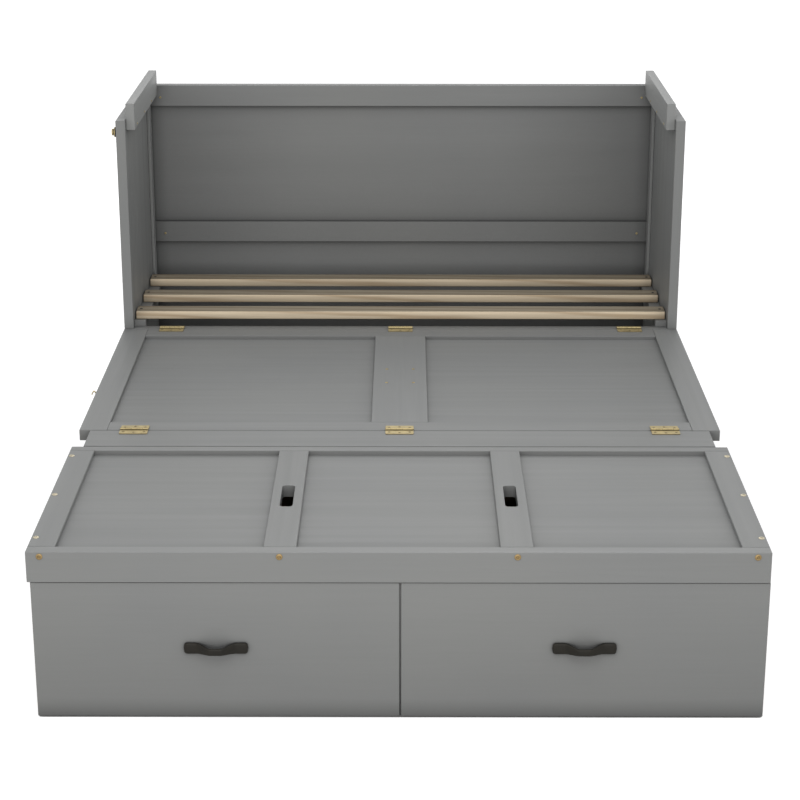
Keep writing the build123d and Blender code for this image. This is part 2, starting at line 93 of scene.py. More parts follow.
class NodeSheet:
    """A short way to lay out one material's nodes."""

    def __init__(self, name: str) -> None:
        """Start an empty material.

        Args:
            name: the material's name.
        """
        self.material = bpy.data.materials.new(name)
        self.material.use_nodes = True
        self.tree = self.material.node_tree
        self.tree.nodes.clear()

    def add(self, kind: str, **values: object) -> bpy.types.Node:
        """Add a node and set its inputs or properties.

        Args:
            kind: the node's type without the ShaderNode prefix.
            values: input or property names, with underscores for spaces, and what they are set to.

        Returns:
            The new node.
        """
        node = self.tree.nodes.new("ShaderNode" + kind)
        for key, value in values.items():
            socket = node.inputs.get(key.replace("_", " "))
            if socket is not None and not hasattr(type(node), key):
                socket.default_value = value
            else:
                setattr(node, key, value)
        return node

    def join(self, source: Socket, target: Socket) -> None:
        """Link one socket to another."""
        self.tree.links.new(source, target)

    def place(self, scale: Point) -> Socket:
        """Object coordinates stretched by a scale.

        Args:
            scale: how many pattern units a metre holds along X, Y and Z.

        Returns:
            The socket that carries the coordinates.
        """
        where = self.add("TexCoord")
        spread = self.add("Mapping")
        spread.inputs["Scale"].default_value = scale
        self.join(where.outputs["Object"], spread.inputs["Vector"])
        return spread.outputs["Vector"]

    def noise(self, vector: Socket, scale: float, detail: float, rough: float = 0.5,
              warp: float = 0.0) -> Socket:
        """Noise read at the given coordinates.

        Args:
            vector: the coordinates.
            scale: how many of its cells fit in a unit.
            detail: finer layers added to it.
            rough: how strong the finer layers are.
            warp: how far it bends itself.

        Returns:
            The value's socket, from 0 to 1.
        """
        node = self.add("TexNoise", Scale=scale, Detail=detail, Roughness=rough, Distortion=warp)
        self.join(vector, node.inputs["Vector"])
        return node.outputs["Fac"]

    def ramp(self, source: Socket, stops: Sequence[tuple[float, Colour]]) -> Socket:
        """A colour ramp over a value.

        Args:
            source: the value.
            stops: place and colour of each stop, in order.

        Returns:
            The ramp's colour socket.
        """
        node = self.add("ValToRGB")
        marks = node.color_ramp.elements
        while len(marks) < len(stops):
            marks.new(0.5)
        for mark, (place, colour) in zip(marks, stops):
            mark.position = place
            mark.color = (*colour, 1.0)
        self.join(source, node.inputs["Fac"])
        return node.outputs["Color"]

    def span(self, source: Socket, low: float, high: float, from_low: float = 0.3,
             from_high: float = 0.7) -> Socket:
        """A value carried from one range to another and held inside it.

        Args:
            source: the value.
            low: what from_low becomes.
            high: what from_high becomes.
            from_low: the start of the value's own range.
            from_high: the end of the value's own range.

        Returns:
            The new value's socket.
        """
        node = self.add("MapRange")
        ends = {"From Min": from_low, "From Max": from_high, "To Min": low, "To Max": high}
        for name, value in ends.items():
            node.inputs[name].default_value = value
        self.join(source, node.inputs["Value"])
        return node.outputs["Result"]

    def largest(self, first: Socket, second: Socket) -> Socket:
        """The larger of two values.

        Args:
            first: one value.
            second: the other value.

        Returns:
            The larger one's socket.
        """
        node = self.add("Math", operation="MAXIMUM")
        self.join(first, node.inputs[0])
        self.join(second, node.inputs[1])
        return node.outputs[0]

    def blend(self, fac: Socket | float, first: Socket | Colour, second: Socket | Colour,
              mode: str = "MIX") -> Socket:
        """Two colours mixed by a value or a fixed share.

        Args:
            fac: the second colour's share.
            first: the first colour.
            second: the second colour.
            mode: Blender's name of the way that they mix.

        Returns:
            The mixed colour's socket.
        """
        node = self.add("Mix")
        node.data_type = "RGBA"
        node.blend_type = mode
        for item, socket in ((fac, node.inputs[0]), (first, node.inputs[6]), (second, node.inputs[7])):
            if isinstance(item, Socket):
                self.join(item, socket)
            elif isinstance(item, tuple):
                socket.default_value = (*item, 1.0)
            else:
                socket.default_value = item
        return node.outputs[2]

    def nearby(self, reach: float, darkest: float, open_tone: float, samples: int = 12) -> Socket:
        """Painted shade: a grey that falls off in corners and beside steps, where a neighbouring wall would
        shade the surface.

        Args:
            reach: how far a neighbouring wall is felt, in metres.
            darkest: the factor in a closed corner.
            open_tone: the factor where nothing is near.
            samples: rays cast for it.

        Returns:
            The grey as a colour socket.
        """
        # painted shade from ambient occlusion, multiplied into the colour
        node = self.add("AmbientOcclusion", Distance=reach)
        node.samples = samples
        return self.ramp(node.outputs["AO"], ((0.25, (darkest,) * 3), (1.0, (open_tone,) * 3)))

    def bump(self, height: Socket, strength: float, distance: float) -> Socket:
        """A bump normal from a height value.

        Args:
            height: the value.
            strength: the share of the bump that is used.
            distance: the relief in metres that a value of 1 stands for.

        Returns:
            The normal's socket.
        """
        node = self.add("Bump", Strength=strength, Distance=distance)
        self.join(height, node.inputs["Height"])
        return node.outputs["Normal"]

    def surface(self, colour: Socket, rough: Socket, normal: Socket, metallic: float = 0.0,
                specular: float = 0.5) -> bpy.types.Material:
        """Close the sheet with one shader.

        Args:
            colour: the colour socket.
            rough: the roughness socket.
            normal: the bump normal.
            metallic: 1 for bare metal.
            specular: the shader's own specular level.

        Returns:
            The finished material.
        """
        shader = self.add("BsdfPrincipled")
        shader.inputs["Metallic"].default_value = metallic
        shader.inputs["Specular IOR Level"].default_value = specular
        self.join(colour, shader.inputs["Base Color"])
        self.join(rough, shader.inputs["Roughness"])
        self.join(normal, shader.inputs["Normal"])
        out = self.add("OutputMaterial")
        self.join(shader.outputs["BSDF"], out.inputs["Surface"])
        return self.material


def shade(colour: Colour, factor: float) -> Colour:
    """The colour made lighter or darker by a factor."""
    return (colour[0] * factor, colour[1] * factor, colour[2] * factor)


@dataclass(frozen=True)
class LacquerFinish:
    """Satin grey lacquer on a board, with the brushed grain and cloudy tone of the real one, and painted shade
    beside steps and in corners.
    """

    name: str
    colour: Colour
    grain: Grain
    depth: float = 0.016
    rough: float = 0.5
    # the next four set the painted shade: its tone beside a step, its tones deep in a wide corner and out in the
    # open, and how far each reaches
    contact: float = 0.55
    hollow: Tones | None = None
    edge_reach: float = 0.05
    room_reach: float = 0.5

    def build(self) -> bpy.types.Material:
        """Make the material: fine fibres stretched along the grain over slow clouds, painted shade near steps
        and in corners, with a shallow bump.
        """
        sheet = NodeSheet(self.name)
        along = sheet.place(self.grain.value)
        fibres = sheet.noise(along, 3.4, 7.0, 0.62)
        streaks = sheet.noise(along, 0.8, 3.0, 0.5, 0.4)
        clouds = sheet.noise(sheet.place((2.2, 2.2, 2.2)), 1.3, 2.0, 0.45)
        low, high = shade(self.colour, 1 - self.depth), shade(self.colour, 1 + self.depth)
        tone = sheet.ramp(fibres, ((0.3, low), (0.7, high)))
        drift = sheet.ramp(streaks, ((0.25, (0.985,) * 3), (0.75, (1.012,) * 3)))
        mist = sheet.ramp(clouds, ((0.3, (0.975, 0.977, 0.985)), (0.7, (1.02, 1.018, 1.012))))
        tone = sheet.blend(1.0, tone, drift, "MULTIPLY")
        tone = sheet.blend(1.0, tone, mist, "MULTIPLY")
        # painted shade next to steps and neighbouring boards
        tone = sheet.blend(1.0, tone, sheet.nearby(self.edge_reach, self.contact, 1.0), "MULTIPLY")
        # wider painted shade deep inside the cabinet and towards the floor
        if self.hollow is not None:
            tone = sheet.blend(1.0, tone, sheet.nearby(self.room_reach, *self.hollow), "MULTIPLY")
        rough = sheet.span(streaks, self.rough - 0.06, self.rough + 0.08)
        return sheet.surface(tone, rough, sheet.bump(fibres, 0.07, 0.0004), specular=0.3)


@dataclass(frozen=True)
class PineFinish:
    """Bare sanded pine with long growth lines, fine fibres and a few knots, with painted shade where it meets
    other parts.
    """

    name: str
    pale: Colour
    dark: Colour
    knot: Colour
    seed: float = 0.0
    # the heights over which painted light brightens a slat's front edge, or None for no painted top shade and
    # edge light
    level: Tones | None = None
    grain: Grain = Grain.ACROSS

    def stretched(self, along: float, across: float) -> Point:
        """Pattern scales for the three axes: one along the grain, the other across it."""
        return (across, along, across) if self.grain is Grain.ALONG else (along, across, across)

    def build(self) -> bpy.types.Material:
        """Make the material: bands bent by noise and pinched around sparse knot cells."""
        sheet = NodeSheet(self.name)
        where = sheet.add("TexCoord")
        spread = sheet.add("Mapping")
        spread.inputs["Location"].default_value = (self.seed, self.seed * 0.7, self.seed * 0.3)
        spread.inputs["Scale"].default_value = self.stretched(0.42, 9.0)
        sheet.join(where.outputs["Object"], spread.inputs["Vector"])
        base = spread.outputs["Vector"]
        cells = sheet.add("TexVoronoi", Scale=2.6, Randomness=1.0)
        sheet.join(base, cells.inputs["Vector"])
        halo = sheet.span(cells.outputs["Distance"], 1.0, 0.0, 0.02, 0.16)
        bend = sheet.add("VectorMath", operation="MULTIPLY_ADD")
        sheet.join(halo, bend.inputs[0])
        bend.inputs[1].default_value = (0.0, 0.5, 0.5)
        sheet.join(base, bend.inputs[2])
        rings = sheet.add("TexWave", wave_type="BANDS", bands_direction="DIAGONAL", Scale=2.1, Distortion=5.5,
                          Detail=3.0, Detail_Scale=0.9)
        rings.inputs["Detail Roughness"].default_value = 0.6
        sheet.join(bend.outputs["Vector"], rings.inputs["Vector"])
        fibres = sheet.noise(sheet.place(self.stretched(6.0, 260.0)), 1.2, 5.0, 0.6)
        bands = ((0.0, self.dark), (0.35, shade(self.pale, 0.93)), (1.0, self.pale))
        tone = sheet.ramp(rings.outputs["Fac"], bands)
        thread = sheet.ramp(fibres, ((0.3, (0.9, 0.89, 0.87)), (0.7, (1.05, 1.05, 1.05))))
        tone = sheet.blend(1.0, tone, thread, "MULTIPLY")
        heart = sheet.span(cells.outputs["Distance"], 1.0, 0.0, 0.012, 0.045)
        tone = sheet.blend(heart, tone, self.knot)
        # painted shade at the ends and beside neighbouring parts
        tone = sheet.blend(1.0, tone, sheet.nearby(0.04, 0.55, 1.0), "MULTIPLY")
        # painted shade on the slat's top and painted light on its front edge
        if self.level is not None:
            tone = sheet.blend(1.0, tone, self.weathered(sheet), "MULTIPLY")
        rough = sheet.span(fibres, 0.55, 0.7)
        return sheet.surface(tone, rough, sheet.bump(fibres, 0.25, 0.0004), specular=0.35)


    def weathered(self, sheet: NodeSheet) -> Socket:
        """Painted shade on the slat's top, and painted light on its front edge, brightest towards its upper
        arris.

        Args:
            sheet: the material being laid out.

        Returns:
            The factor's socket.
        """
        where = sheet.add("TexCoord")
        way, spot = sheet.add("SeparateXYZ"), sheet.add("SeparateXYZ")
        sheet.join(where.outputs["Normal"], way.inputs["Vector"])
        sheet.join(where.outputs["Object"], spot.inputs["Vector"])
        up = sheet.span(way.outputs["Z"], 0.0, 1.0, 0.75, 0.97)
        height = sheet.span(spot.outputs["Z"], 0.0, 1.0, *self.level)
        # painted light on the front edge: darker low down, brightest near the top
        painted_edge_light = sheet.ramp(height, ((0.0, (0.92, 0.92, 0.9)), (0.55, (1.08,) * 3), (0.82, (1.3, 1.3, 1.31)),
                                   (1.0, (1.2,) * 3)))
        # painted shade: the top is darkened and greyed
        return sheet.blend(up, painted_edge_light, (0.56, 0.575, 0.585))


@dataclass(frozen=True)
class MetalFinish:
    """Plated or lacquered metal: handled smudges change its gloss, and fine pits its surface."""

    name: str
    colour: Colour
    rough: float
    metallic: float = 1.0
    wear: float = 0.12
    pits: float = 0.12
    specular: float = 0.5
    # tone of the painted shade in crevices and next to neighbouring parts
    crevice: float = 0.3

    def build(self) -> bpy.types.Material:
        """Make the material from slow smudges, fine speckle, painted shade in crevices and a small bump."""
        sheet = NodeSheet(self.name)
        smudge = sheet.noise(sheet.place((60.0, 60.0, 60.0)), 1.0, 4.0, 0.6)
        speck = sheet.noise(sheet.place((900.0, 900.0, 900.0)), 1.0, 3.0, 0.6)
        worn, bright = shade(self.colour, 1 - self.wear), shade(self.colour, 1 + self.wear)
        tone = sheet.ramp(smudge, ((0.3, worn), (0.7, bright)))
        # painted shade in crevices, at leaf ends and next to neighbouring parts
        tone = sheet.blend(1.0, tone, sheet.nearby(0.006, self.crevice, 1.0), "MULTIPLY")
        rough = sheet.span(smudge, self.rough - 0.06, self.rough + 0.09)
        return sheet.surface(tone, rough, sheet.bump(speck, self.pits, 0.0001), self.metallic, self.specular)


@dataclass(frozen=True)
class MouldedFinish:
    """Moulded plastic with a faint spark-eroded texture."""

    name: str
    colour: Colour
    rough: float = 0.55

    def build(self) -> bpy.types.Material:
        """Make the material from fine speckle and slow tone change."""
        sheet = NodeSheet(self.name)
        speck = sheet.noise(sheet.place((1400.0, 1400.0, 1400.0)), 1.0, 2.0)
        cloud = sheet.noise(sheet.place((30.0, 30.0, 30.0)), 1.0, 3.0)
        tone = sheet.ramp(cloud, ((0.3, shade(self.colour, 0.9)), (0.7, shade(self.colour, 1.1))))
        rough = sheet.span(cloud, self.rough - 0.05, self.rough + 0.06)
        return sheet.surface(tone, rough, sheet.bump(speck, 0.2, 0.0001), specular=0.4)


@dataclass
class Palette:
    """Every finish of the bed, built once and kept by name."""

    grey: Colour = (0.216, 0.2205, 0.218)
    made: dict[str, bpy.types.Material] = field(default_factory=dict)

    def get(self, finish: LacquerFinish | PineFinish | MetalFinish | MouldedFinish) -> bpy.types.Material:
        """The material of a finish, built at its first use."""
        if finish.name not in self.made:
            self.made[finish.name] = finish.build()
        return self.made[finish.name]

    def lacquer(self, grain: Grain, factor: float = 1.0, hollow: Tones | None = None,
                contact: float = 0.55) -> bpy.types.Material:
        """The grey lacquer with its grain running a given way; a lighter copy stands for painted light and a
        darker copy for painted shade.

        Args:
            grain: the way the grain runs.
            factor: how much lighter or darker than the bed's grey: painted light above 1 and painted shade below
                1.
            hollow: the painted shade's tones deep in a corner and out in the open, or None for boards that stand
                free.
            contact: the painted shade's tone right under a neighbouring edge.

        Returns:
            The material.
        """
        name = f"grey_lacquer_{grain.name.lower()}_{round(factor * 100)}_{round(contact * 100)}"
        finish = LacquerFinish(name, shade(self.grey, factor), grain, hollow=hollow, contact=contact)
        return self.get(finish)

    def brass(self) -> bpy.types.Material:
        """The yellow plated metal of hinges, screws, catch and hook."""
        # deep painted shade in its crevices
        return self.get(MetalFinish("yellow_brass", (0.36, 0.295, 0.155), 0.5, 0.8, 0.2, crevice=0.12))

    def cap_brass(self) -> bpy.types.Material:
        """The browner metal of the cap screws along the foot rim."""
        return self.get(MetalFinish("cap_brass", (0.27, 0.19, 0.085), 0.5, 0.7, 0.15))

    def pale_brass(self) -> bpy.types.Material:
        """The paler metal of the cap screws on the lid's top."""
        return self.get(MetalFinish("pale_brass", (0.52, 0.47, 0.35), 0.42, 0.75, 0.12))

    def worn_brass(self) -> bpy.types.Material:
        """The darkened metal of the small screws set into the hinge leaves."""
        return self.get(MetalFinish("worn_brass", (0.19, 0.145, 0.07), 0.45, 0.8, 0.2))

    def bronze(self) -> bpy.types.Material:
        """The dark rubbed metal of the bow pulls."""
        return self.get(MetalFinish("dark_bronze", (0.015, 0.0135, 0.0105), 0.55, 0.0, 0.25, 0.25,
                                    0.16, 0.6))

    def pine(self, seed: float, level: Tones) -> bpy.types.Material:
        """Slat pine with painted shade on its top and painted light on its front edge between two heights, with
        its own run of grain for each seed.
        """
        return self.get(PineFinish(f"pine_{round(seed * 10)}", (0.56, 0.467, 0.340), (0.41, 0.318, 0.215),
                                   (0.16, 0.10, 0.06), seed, level))

    def ply(self, grain: Grain) -> bpy.types.Material:
        """The bare board of the drawer boxes, with its grain running a given way."""
        name = f"drawer_board_{grain.name.lower()}"
        return self.get(PineFinish(name, (0.60, 0.49, 0.35), (0.51, 0.40, 0.275), (0.30, 0.20, 0.12), 4.0,
                                   grain=grain))


def dress(node: str, material: bpy.types.Material) -> None:
    """Give a CAD node one material on all its faces.

    Args:
        node: the node's name.
        material: what it gets.
    """
    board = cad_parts[node]
    if not board.material_slots:
        board.data.materials.append(material)
    for slot in board.material_slots:
        slot.material = material


def grid_piece(name: str, sheets: Sequence[np.ndarray], material: bpy.types.Material, body: str,
               closed: bool = True) -> bpy.types.Object:
    """One mesh object from grids of points, each joined along its rows and round its columns.

    Point (i, j) of a grid is joined to (i + 1, j) and (i, j + 1); the last column meets the first one when
    the grid is closed round.

    Args:
        name: the object's name.
        sheets: arrays shaped (rows, columns, 3), in metres.
        material: the finish.
        body: the CAD body that carries it.
        closed: whether columns close round.

    Returns:
        The object, riding on its body.
    """
    points: list[np.ndarray] = []
    faces: list[np.ndarray] = []
    start = 0
    for sheet in sheets:
        rows, columns = sheet.shape[:2]
        index = start + np.arange(rows * columns).reshape(rows, columns)
        right = np.roll(index, -1, axis=1) if closed else index[:, 1:]
        left = index if closed else index[:, :-1]
        cells = np.stack([left[:-1], right[:-1], right[1:], left[1:]], axis=-1)
        faces.append(cells.reshape(-1, 4))
        points.append(sheet.reshape(-1, 3))
        start += rows * columns
    verts = np.concatenate(points)
    quads = np.concatenate(faces)
    mesh = bpy.data.meshes.new(name)
    mesh.from_pydata(verts.tolist(), [], quads.tolist())
    mesh.polygons.foreach_set("use_smooth", np.ones(len(quads), dtype=bool))
    mesh.validate()
    mesh.update()
    mesh.materials.append(material)
    piece = bpy.data.objects.new(name, mesh)
    bpy.context.scene.collection.objects.link(piece)
    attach(piece, body)
    LOG.info("piece %s: %d points on %s", name, len(verts), body)
    return piece


def axes_of(facing: Facing) -> tuple[np.ndarray, np.ndarray, np.ndarray]:
    """Two side directions and the outward direction of a facing, right-handed.

    Args:
        facing: the way that the piece looks.

    Returns:
        First side direction, second side direction, outward direction.
    """
    out = np.array(facing.value)
    side = np.array((1.0, 0.0, 0.0)) if abs(out[0]) < 0.5 else np.array((0.0, 1.0, 0.0))
    return side, np.cross(out, side), out


def turned(profile: Sequence[tuple[float, float]], centre: Point, facing: Facing,
           columns: int = 40) -> np.ndarray:
    """A turned surface: radius and height of the profile carried round the facing's axis.

    P(i, a) = centre + r_i (cos a side + sin a cross) + h_i out.

    Args:
        profile: radius and height pairs from the rim inwards or outwards.
        centre: where the axis meets the surface below.
        facing: the axis.
        columns: points round the axis.

    Returns:
        The grid of points.
    """
    side, cross, out = axes_of(facing)
    radius, height = np.array(profile).T
    angle = np.linspace(0.0, FULL_TURN, columns, endpoint=False)
    ring = np.cos(angle)[:, None] * side + np.sin(angle)[:, None] * cross
    return np.array(centre) + radius[:, None, None] * ring[None] + height[:, None, None] * out


@dataclass
class ScrewHead:
    """A raised screw head with a cross recess or a hexagon socket."""

    radius: float
    height: float
    socket: bool = False
    rings: int = 15
    columns: int = 48

    def surface(self, centre: Point, facing: Facing, turn: float = 0.3) -> np.ndarray:
        """The head's surface on a grid of rings.

        Height over radius r is a low dome, height * (1 - (r / R)^4)^(1/2), less the recess: a cross whose arms
        are the places near either axis, or a hexagon whose distance is the largest of three folded coordinates.

        Args:
            centre: the middle of the head on the surface below.
            facing: the way the head looks.
            turn: how far the recess is turned, in radians.

        Returns:
            The grid of points, rim first.
        """
        side, cross, out = axes_of(facing)
        share = np.concatenate([[1.0, 1.0], np.linspace(0.97, 0.0, self.rings) ** 0.9])
        angle = np.linspace(0.0, FULL_TURN, self.columns, endpoint=False)
        r = (share * self.radius)[:, None] * np.ones(self.columns)[None]
        lift = self.height * np.sqrt(np.clip(1 - share ** 4, 0.0, 1.0))
        lift[0] = 0.0
        lift[1] = self.height * 0.35
        lift[2:] = np.maximum(lift[2:], self.height * 0.35)
        x = r * np.cos(angle + turn)[None]
        y = r * np.sin(angle + turn)[None]
        if self.socket:
            thirds = (0.0, math.pi / 3, 2 * math.pi / 3)
            folded = [np.abs(x * math.cos(a) + y * math.sin(a)) for a in thirds]
            reach = np.max(folded, axis=0) / (self.radius * 0.46)
            cut = np.clip((1.08 - reach) / 0.16, 0.0, 1.0) * self.height * 0.9
        else:
            near = np.minimum(np.abs(x), np.abs(y)) / (self.radius * 0.13)
            far = np.maximum(np.abs(x), np.abs(y)) / (self.radius * 0.62)
            cut = np.clip(1.25 - near, 0, 1) * np.clip((1.1 - far) / 0.25, 0, 1) * self.height * 0.75
        ring = np.cos(angle)[:, None] * side + np.sin(angle)[:, None] * cross
        top = (lift[:, None] - cut)[..., None] * out
        return np.array(centre) + (share * self.radius)[:, None, None] * ring[None] + top


@dataclass
class BowPull:
    """A bow pull: two flat pads joined by a bar that arches away from the face."""

    length: float = 0.141
    reach: float = 0.027
    pad: float = 0.026
    bar: float = 0.0165
    foot: float = 0.033
    thick: float = 0.0066
    climb: float = 0.035
    tip_share: float = 0.12

    def surface(self, middle: Point, along: Point, out: Point) -> np.ndarray:
        """The pull as a rounded section carried along its arch.

        The middle line climbs from each foot to a flat middle by 3u^2 - 2u^3, and the half width eases from the
        bar to the pad in the same way. Each section is the superellipse |x / w|^3 + |z / t|^3 = 1, and the last
        sections shrink to close the ends.

        Args:
            middle: the middle of the pull on the face.
            along: its long direction.
            out: the direction away from the face.

        Returns:
            The grid of points.
        """
        ahead, away = np.array(along), np.array(out)
        wide = np.cross(away, ahead)
        s = np.linspace(-1.0, 1.0, 97)
        half = self.length / 2
        grip = half - self.foot * 0.8
        x = s * half
        climb = np.clip((grip + 0.001 - np.abs(x)) / self.climb, 0, 1)
        arch = climb * climb * (3 - 2 * climb)
        rise = self.thick * 0.55 + (self.reach - self.thick * 1.1) * arch
        slope = np.gradient(rise, x)
        normal = away[None] - slope[:, None] * ahead[None]
        normal /= np.linalg.norm(normal, axis=1)[:, None]
        widen = np.clip((np.abs(x) - (grip - self.climb * 0.92)) / self.climb, 0, 1)
        widen = widen * widen * (3 - 2 * widen)
        width = (self.bar + (self.pad - self.bar) * widen) / 2
        depth = np.full_like(x, self.thick / 2)
        tip = np.clip((np.abs(s) - (1 - self.tip_share)) / self.tip_share, 0, 1)
        close = np.sqrt(np.clip(1 - tip ** 2.2, 0, 1))
        width = width * (0.38 + 0.62 * close)
        depth = depth * np.clip(close, 0.12, 1)
        width[[0, -1]] = depth[[0, -1]] = POINTED
        angle = np.linspace(0.0, FULL_TURN, 28, endpoint=False)
        c = np.sign(np.cos(angle)) * np.abs(np.cos(angle)) ** (2 / 3)
        z = np.sign(np.sin(angle)) * np.abs(np.sin(angle)) ** (2 / 3)
        centre = np.array(middle) + x[:, None] * ahead[None] + rise[:, None] * away[None]
        across = (width[:, None] * c[None])[..., None] * wide
        outward = (depth[:, None] * z[None])[..., None] * normal[:, None, :]
        return centre[:, None, :] + across + outward


@dataclass
class Cabinet:
    """The upright cabinet: side panels, back, rails, battens, cleats, ledges, slats and catch."""

    palette: Palette
    body: str = "cabinet"

    def dress(self) -> None:
        """Give every board its finish: upright grain on the sides, level grain on rails and back, darker copies
        of the grey as painted shade inside the cabinet and a lighter copy as painted light on the cleats.
        """
        p = self.palette
        for node in ("side_panel_left", "side_panel_right"):
            dress(node, p.lacquer(Grain.UPRIGHT, 1.0))
        dress("corner_battens", p.lacquer(Grain.UPRIGHT, 1.0))
        # back panel and rails: darker copies of the grey, the back ones with wide painted shade in the cabinet's
        # corners
        dress("back_panel", p.lacquer(Grain.ACROSS, 0.87, (0.47, 1.05)))
        dress("top_back_rail", p.lacquer(Grain.ACROSS, 0.92, (0.60, 1.06)))
        dress("middle_back_rail", p.lacquer(Grain.ACROSS, 0.87, (0.54, 1.04)))
        dress("hinge_rail", p.lacquer(Grain.ACROSS, 0.88))
        # the cleats are a lighter copy of the grey: painted light
        for node in ("lid_cleat_left", "lid_cleat_right"):
            dress(node, p.lacquer(Grain.ALONG, 1.22))
        dress("slat_ledges", p.lacquer(Grain.ALONG, 1.0))
        # the slats' pine has painted shade on its top and painted light along its front edge
        for number, node in enumerate(("slat_front", "slat_middle", "slat_rear")):
            low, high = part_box(node)
            dress(node, p.pine(1.3 + 2.4 * number, (low[2], high[2])))

    def screws(self) -> None:
        """Replace the plain screw heads of cleats, rails and slats with recessed ones."""
        small = ScrewHead(0.0035, 0.0012)
        heads = [small.surface(point, facing, 0.2 + 0.5 * turn)
                 for turn, (point, facing) in enumerate(screw_places("cabinet_screws"))]
        piece = grid_piece("cabinet_brass_screws", heads, self.palette.brass(), self.body)
        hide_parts("cabinet_screws")
        dark = self.palette.get(MetalFinish("dark_screw_steel", (0.05, 0.048, 0.045), 0.4, 0.8))
        wood = ScrewHead(0.004, 0.0012)
        heads = [wood.surface(point, facing, 0.4 * turn)
                 for turn, (point, facing) in enumerate(screw_places("slat_screws"))]
        piece = grid_piece("slat_dark_screws", heads, dark, self.body)
        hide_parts("slat_screws")

    def catch(self) -> None:
        """The turned brass catch on the left side panel: neck, flange, groove and knob.

        Flange and knob have half-round edges, r + e sin a and h - e' cos a for a from 0 to pi, between straight
        runs of the profile.
        """
        low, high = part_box("latch_catch")
        centre = (high[0], (low[1] + high[1]) / 2, (low[2] + high[2]) / 2)
        radius = (high[2] - low[2]) / 2
        t = np.linspace(0, math.pi, 9)
        flange = [(radius - 0.0015 + 0.0015 * math.sin(a), 0.0042 - 0.0016 * math.cos(a)) for a in t]
        knob = [(0.0088 + 0.0012 * math.sin(a), 0.0104 - 0.0024 * math.cos(a)) for a in t]
        profile = [(0.009, 0.0), (0.009, 0.0026)] + flange + [(0.0078, 0.0062), (0.0076, 0.0074)] + knob
        profile += [(0.006, 0.0134), (0.003, 0.0137), (0.0, 0.0138)]
        piece = grid_piece("catch_turned", [turned(profile, centre, Facing.LEFT, 56)], self.palette.brass(),
                           self.body)
        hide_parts("latch_catch")


SCREW_APART = 0.034


def screw_places(node: str) -> list[tuple[Point, Facing]]:
    """Where the screws of a CAD node stand, read from its loose triangles.

    The node's points are split into clumps; each clump's widest face gives the head's middle, and its thin
    end the way it looks.

    Args:
        node: a node that holds only screws.

    Returns:
        Middle of each head on its board, and its facing.
    """
    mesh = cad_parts[node].data
    flat = np.empty(len(mesh.vertices) * 3)
    mesh.vertices.foreach_get("co", flat)
    places: list[tuple[Point, Facing]] = []
    left = flat.reshape(-1, 3)
    while len(left):
        near = np.linalg.norm(left - left[0], axis=1) < SCREW_APART
        clump, left = left[near], left[~near]
        low, high = clump.min(0), clump.max(0)
        middle = (low + high) / 2
        spread = high - low
        best = None
        for facing in Facing:
            out = np.array(facing.value)
            axis = int(np.argmax(np.abs(out)))
            side = [i for i in range(3) if i != axis]
            radius = np.linalg.norm(clump[:, side] - middle[side], axis=1)
            rim = clump[radius > radius.max() * 0.98][:, axis]
            towards = (rim * out[axis]).mean() - (middle * out).sum()
            round_head = abs(spread[side[0]] - spread[side[1]]) < 2e-4
            if round_head and towards > 0 and (best is None or towards > best[0]):
                base = (rim * out[axis]).min() * out[axis]
                place = middle.copy()
                place[axis] = base
                best = (towards, tuple(place), facing)
        if best is not None:
            places.append((best[1], best[2]))
    return places


@dataclass
class HingeRow:
    """One side of three butt hinges on a seam, with flush screws in each leaf."""

    palette: Palette
    node: str
    body: str
    seam: float
    way: int
    near: float = 0.016
    far: float = 0.0205
    step: float = 0.026
    middles: tuple[float, ...] = (-0.666, 0.0, 0.666)
    leaf_top: float = DECK + 0.002

    def screws(self) -> None:
        """Three screws in each leaf, a middle one set further from the seam."""
        head = ScrewHead(0.0034, 0.0007)
        heads: list[np.ndarray] = []
        for middle in self.middles:
            for step, out in ((-self.step, self.near), (0.0, self.far), (self.step, self.near)):
                place = (middle + step, self.seam + self.way * out, self.leaf_top)
                heads.append(head.surface(place, Facing.UP, 0.7 * len(heads)))
        name = f"{self.node}_{'head' if self.way > 0 else 'foot'}_screws"
        grid_piece(name, heads, self.palette.worn_brass(), self.body)


